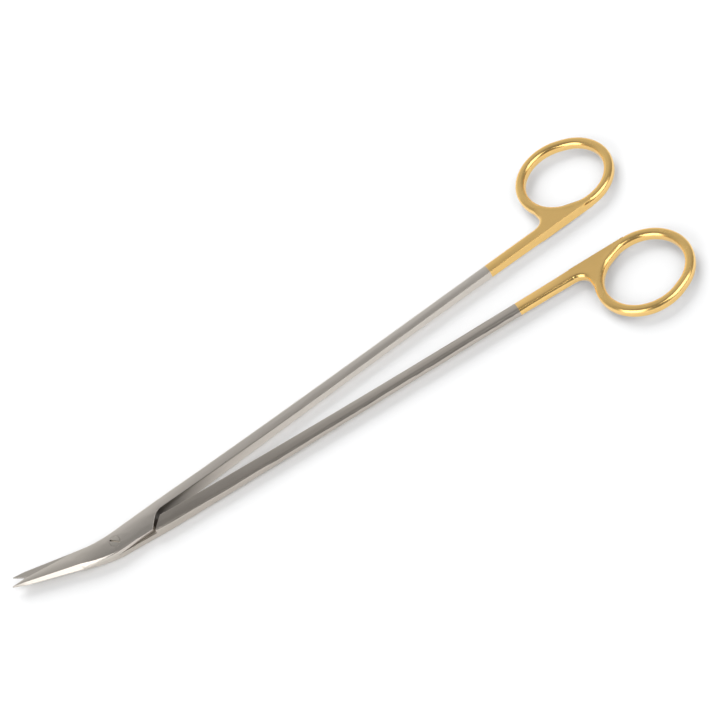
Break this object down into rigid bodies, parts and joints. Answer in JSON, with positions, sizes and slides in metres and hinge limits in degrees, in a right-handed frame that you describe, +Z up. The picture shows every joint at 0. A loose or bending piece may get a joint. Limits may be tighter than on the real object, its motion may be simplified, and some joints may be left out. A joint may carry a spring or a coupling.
{
  "type": "surgical scissors",
  "caption": "Slender surgical scissors with blades angled to one side, long slim shanks and gilt finger rings on flat webs.",
  "frame": {"origin": "point where the pivot axis meets the flat underside of the joint, which is the plane that the closed or open scissors rest on", "axes": "+Z up along the pivot axis, +X along the middle line of the handles towards the finger rings, the blades point to -X and lean to +Y"},
  "size_m": [0.1897, 0.0674, 0.0044],
  "materials": {
    "instrument_steel": "satin steel, gilt from the last part of each shank over web and finger ring",
    "hard_metal": "ground bevel, brighter than the steel round it",
    "screw_steel": "satin, ground flush with the cheeks"
  },
  "bodies": {
    "lower": {"lower_half": "instrument_steel", "lower_edge_insert": "hard_metal", "pivot_screw": "screw_steel"},
    "upper": {"upper_half": "instrument_steel", "upper_edge_insert": "hard_metal"}
  },
  "joints": [
    {"name": "pivot", "type": "hinge", "parent": "lower", "child": "upper", "pos_m": [0, 0, 0], "axis": [0, 0, 1], "range_deg": [-5.74, 40]}
  ]
}
